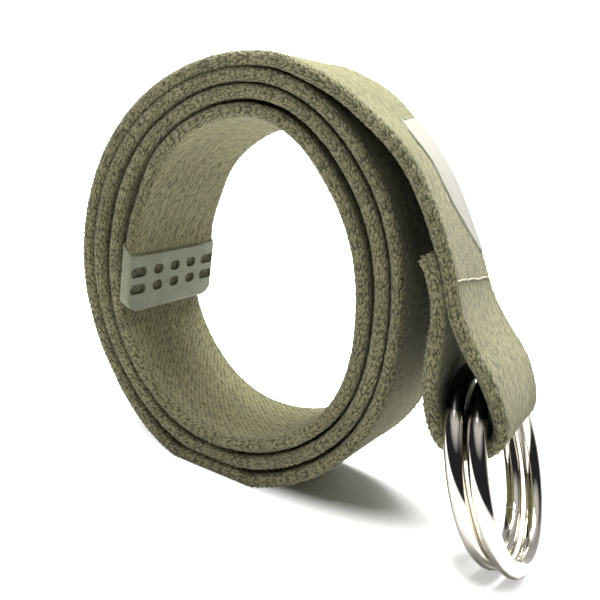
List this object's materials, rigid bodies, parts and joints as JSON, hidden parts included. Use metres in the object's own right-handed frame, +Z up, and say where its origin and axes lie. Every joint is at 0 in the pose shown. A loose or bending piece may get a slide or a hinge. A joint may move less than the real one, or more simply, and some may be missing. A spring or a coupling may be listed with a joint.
{
  "type": "canvas webbing belt",
  "caption": "Rolled canvas webbing belt with round metal rings held in a sewn loop at one end and a pierced moulded tip on the free end.",
  "frame": {"origin": "on the floor, under the middle of the whole belt's box", "axes": "+Z up; Y along the axis of the roll, with the belt's front edge at -Y; +X towards the rings"},
  "size_m": [0.1402, 0.0506, 0.113],
  "materials": {
    "webbing": "ribbed cotton webbing, olive khaki",
    "moulded_tip": "satin moulded plastic, grey green",
    "polished_metal": "bright nickel plate on steel wire",
    "clear_film": "blank translucent film"
  },
  "bodies": {
    "root": {"webbing_strap": "webbing", "end_tip": "moulded_tip", "ring_inner": "polished_metal", "ring_outer": "polished_metal", "film_strip": "clear_film"}
  },
  "joints": []
}
